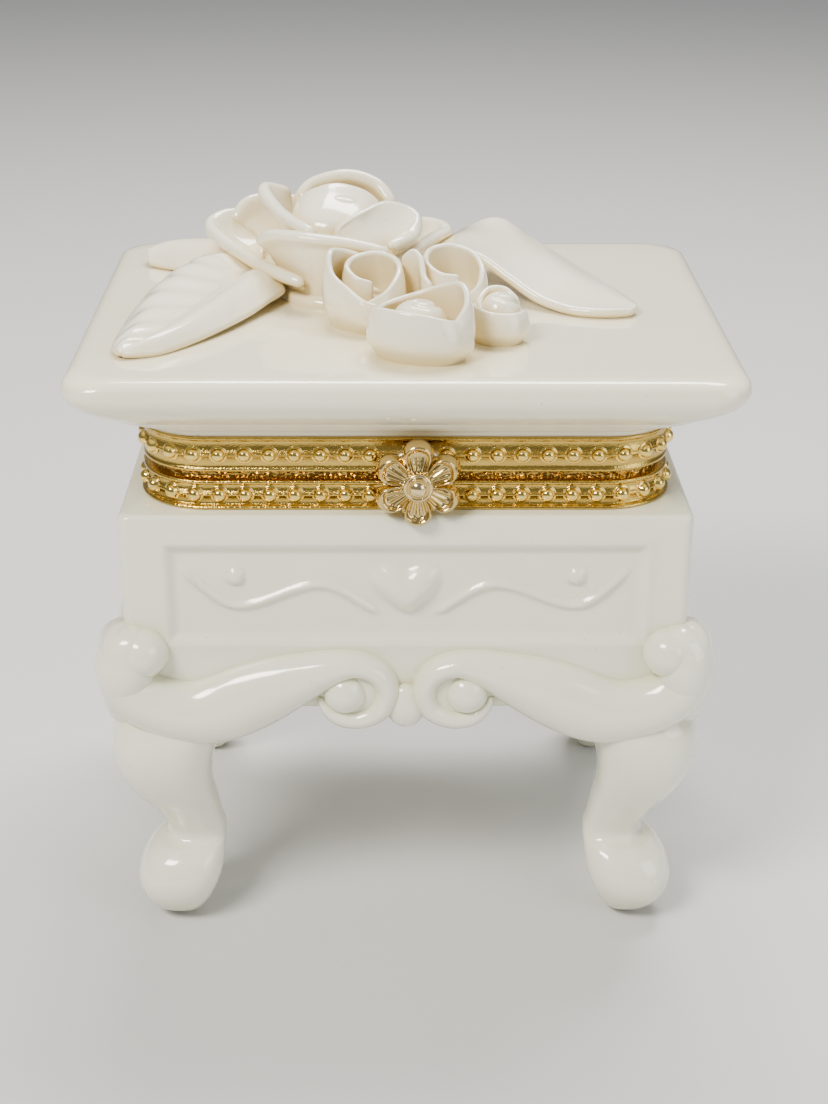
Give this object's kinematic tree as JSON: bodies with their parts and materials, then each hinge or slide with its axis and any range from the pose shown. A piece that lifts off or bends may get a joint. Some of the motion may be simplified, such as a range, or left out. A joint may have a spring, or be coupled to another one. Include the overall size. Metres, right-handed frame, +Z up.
{
  "type": "porcelain trinket box",
  "caption": "Footed rectangular porcelain trinket box with cabriole legs, scrolled apron, beaded gilt rims, a flower clasp and a hinged lid with modelled rose, buds and leaves.",
  "frame": {"origin": "on the ground under the middle of the box", "axes": "+Z up, +X to the box's right seen from the clasp, -Y towards the clasp"},
  "size_m": [0.108, 0.086, 0.1243],
  "materials": {
    "body_glaze": "glossy ivory glaze",
    "lid_glaze": "glossy ivory glaze",
    "flower_glaze": "glossy ivory glaze, pooled in the folds",
    "gilt_rim": "polished gilt",
    "gilt_bead": "polished gilt",
    "gilt_rough": "rough gilt",
    "gilt_clasp": "cast and gilt",
    "gilt_hinge": "gilt",
    "plaster": "matt set plaster"
  },
  "bodies": {
    "base": {"bezel_collar": "gilt_rough", "box_body": "body_glaze", "catch_stud": "gilt_hinge", "dots_back": "body_glaze", "dots_front": "body_glaze", "heart_back": "body_glaze", "heart_front": "body_glaze", "hinge_leaf_lower": "gilt_hinge", "hinge_pin": "gilt_hinge", "leg_back_left": "body_glaze", "leg_back_right": "body_glaze", "leg_front_left": "body_glaze", "leg_front_right": "body_glaze", "lower_beading": "gilt_bead", "lower_bezel": "gilt_rim", "lower_cement": "plaster", "scroll_back_left": "body_glaze", "scroll_back_right": "body_glaze", "scroll_front_left": "body_glaze", "scroll_front_right": "body_glaze", "scroll_left_back": "body_glaze", "scroll_left_front": "body_glaze", "scroll_right_back": "body_glaze", "scroll_right_front": "body_glaze", "waves_back": "body_glaze", "waves_front": "body_glaze"},
    "lid": {"bud_back_heart": "flower_glaze", "bud_back_petal": "flower_glaze", "bud_front_heart": "flower_glaze", "bud_front_petal": "flower_glaze", "bud_left_heart": "flower_glaze", "bud_left_petal": "flower_glaze", "bud_small_heart": "flower_glaze", "bud_small_petal": "flower_glaze", "hinge_leaf_upper": "gilt_hinge", "leaf_left_back": "flower_glaze", "leaf_left_front": "flower_glaze", "leaf_right": "flower_glaze", "lid_shell": "lid_glaze", "rose_base": "flower_glaze", "rose_heart": "flower_glaze", "rose_petal_back_left": "flower_glaze", "rose_petal_back_right": "flower_glaze", "rose_petal_front": "flower_glaze", "rose_petal_inner_back": "flower_glaze", "rose_petal_inner_front": "flower_glaze", "rose_petal_inner_left": "flower_glaze", "rose_petal_left": "flower_glaze", "rose_petal_right": "flower_glaze", "upper_beading": "gilt_bead", "upper_bezel": "gilt_rim", "upper_cement": "plaster"},
    "clasp": {"clasp_backplate": "gilt_clasp", "clasp_boss": "gilt_clasp", "clasp_flower": "gilt_clasp", "clasp_tongue": "gilt_clasp"}
  },
  "joints": [
    {"name": "lid_hinge", "type": "hinge", "parent": "base", "child": "lid", "pos_m": [0, 0.03495, 0.08525], "axis": [-1, 0, 0], "range_deg": [0, 105]},
    {"name": "clasp_flex", "type": "hinge", "parent": "lid", "child": "clasp", "pos_m": [0.0018, -0.03355, 0.0906], "axis": [-1, 0, 0], "range_deg": [0, 3], "stiffness_Nm_per_rad": 0.05}
  ]
}
